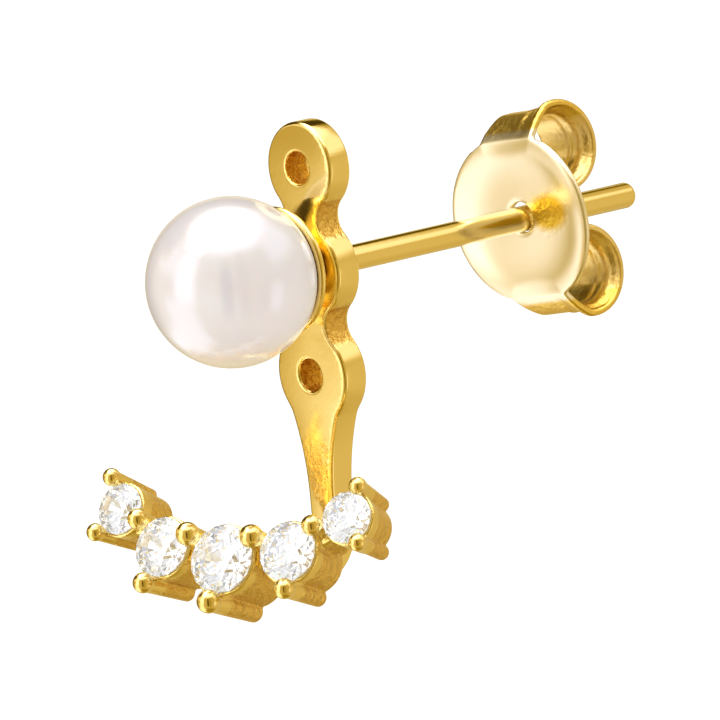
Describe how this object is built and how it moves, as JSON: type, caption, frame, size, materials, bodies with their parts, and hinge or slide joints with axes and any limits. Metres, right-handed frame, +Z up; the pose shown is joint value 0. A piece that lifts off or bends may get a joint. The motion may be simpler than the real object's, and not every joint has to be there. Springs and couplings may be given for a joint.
{
  "type": "ear jacket earring",
  "caption": "Pearl stud with a pierced plate hanging on its post, whose stem hooks forward to a curved row of claw-set clear stones, held by a butterfly clutch.",
  "frame": {"origin": "On the post's axis, in the middle of its bare stretch, where it passes through the earlobe", "axes": "+Y along the post from the pearl to the tip, +Z up, +X to the viewer's right when seen from the pearl's side"},
  "size_m": [0.0093, 0.0184, 0.014],
  "materials": {
    "gold": "polished, gold plated",
    "pale_gold": "polished, pale gold plated",
    "pearl": "pearl lustre",
    "stone": "faceted, clear"
  },
  "bodies": {
    "stud": {"pearl": "pearl", "stud_post": "gold"},
    "jacket": {"jacket": "gold", "stone_1": "stone", "stone_2": "stone", "stone_3": "stone", "stone_4": "stone", "stone_5": "stone"},
    "clutch": {"clutch": "pale_gold"}
  },
  "joints": [
    {"name": "jacket_swing", "type": "hinge", "parent": "stud", "child": "jacket", "pos_m": [0, -0.00438, 0], "axis": [0, 1, 0], "continuous": true},
    {"name": "clutch_slide", "type": "slide", "parent": "stud", "child": "clutch", "axis": [0, 1, 0], "range_m": [-0.0072, 0.0036]}
  ]
}
